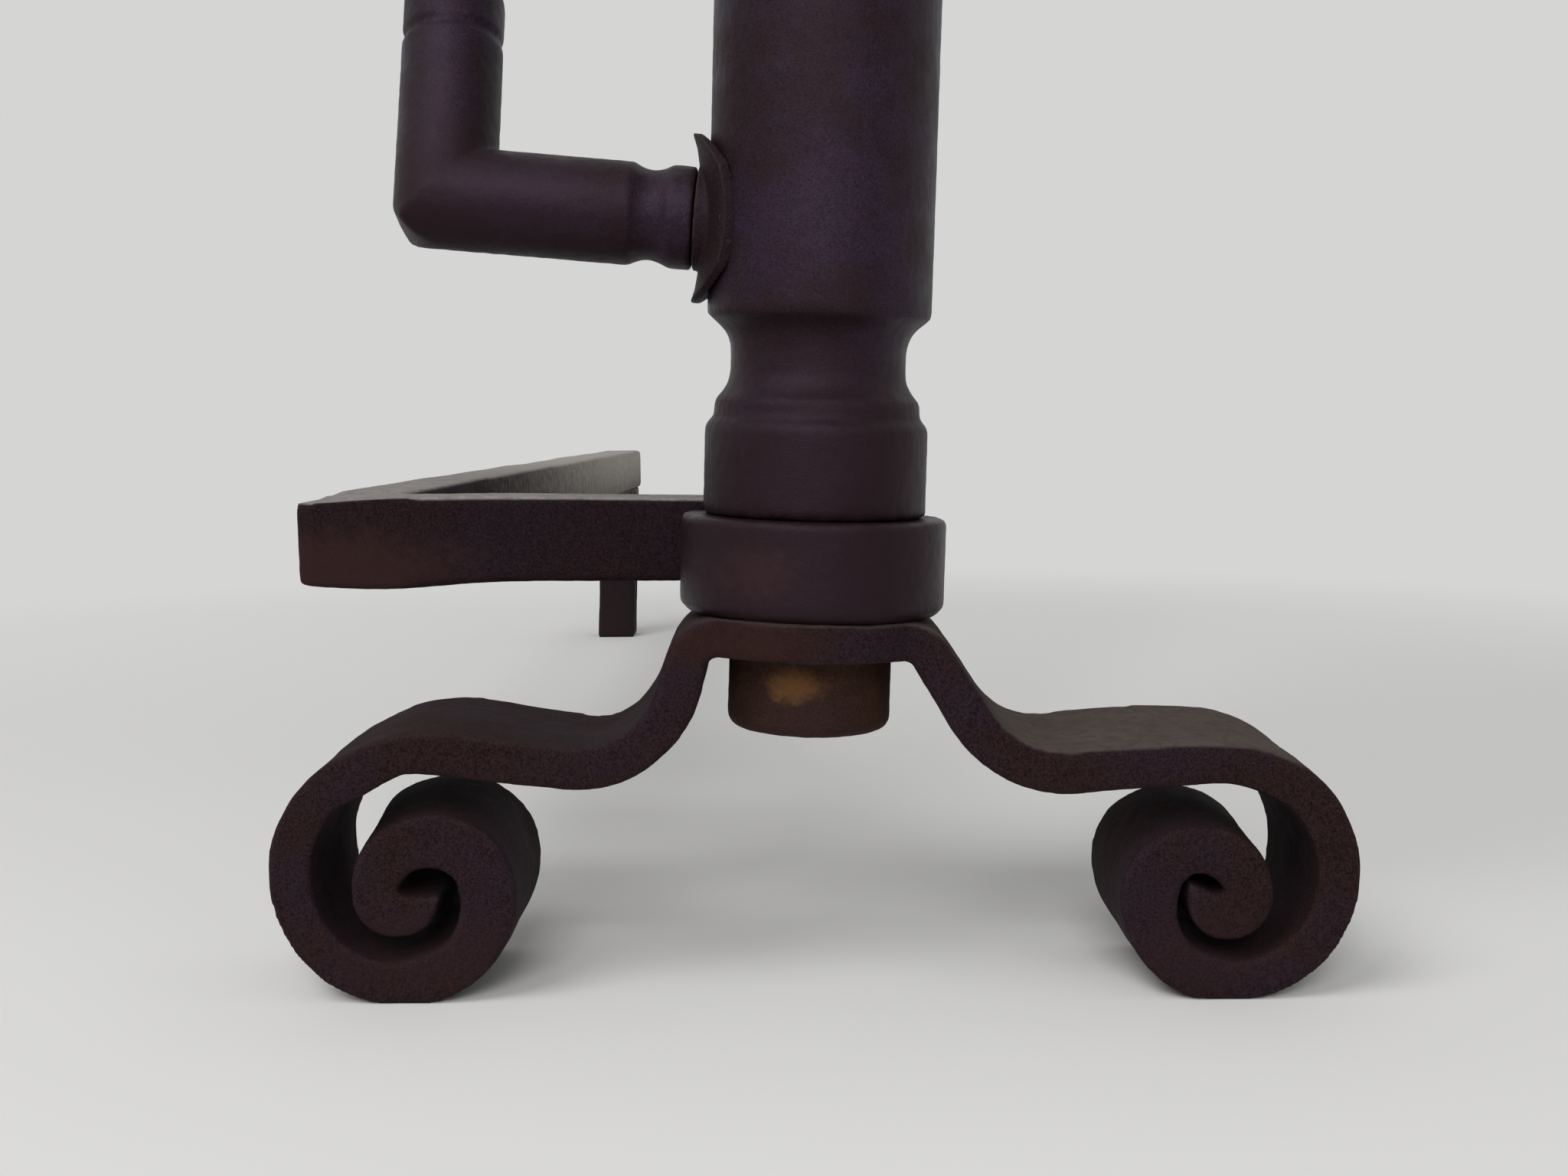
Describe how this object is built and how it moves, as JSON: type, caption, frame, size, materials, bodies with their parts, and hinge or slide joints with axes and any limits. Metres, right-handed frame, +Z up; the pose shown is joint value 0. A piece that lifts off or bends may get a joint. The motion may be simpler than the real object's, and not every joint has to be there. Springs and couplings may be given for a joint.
{
  "type": "andiron",
  "caption": "Andiron with a turned round post on a scrolled foot strip, a square log bar running back to a rear leg, and a turning L-shaped side arm.",
  "frame": {"origin": "on the floor, under the middle of the whole piece; the post stands at the front", "axes": "+Z up, +X to the right seen from the front, +Y from the front to the rear along the log bar"},
  "size_m": [0.2434, 0.6653, 0.5078],
  "materials": {
    "turned_iron": "blackened iron with a fine matt oxide grain and a soft sheen",
    "forged_iron": "blackened forged bar, dusty on top, with brown rust in the bends",
    "rusty_iron": "brown rust with an orange worn spot",
    "bar_iron": "blackened bar, rusty at the corner and ashy grey along the log rest",
    "washer_iron": "bare brown-black iron"
  },
  "bodies": {
    "root": {"post": "turned_iron", "collar": "turned_iron", "foot_strip": "forged_iron", "base_nut": "rusty_iron", "log_bar": "bar_iron", "rear_leg": "bar_iron", "saddle_washer": "washer_iron", "arm_pin": "washer_iron"},
    "arm": {"arm": "turned_iron"}
  },
  "joints": [
    {"name": "arm_turn", "type": "hinge", "parent": "root", "child": "arm", "pos_m": [0.00287, -0.30235, 0.17235], "axis": [0.9959, 0, -0.0906], "continuous": true}
  ]
}
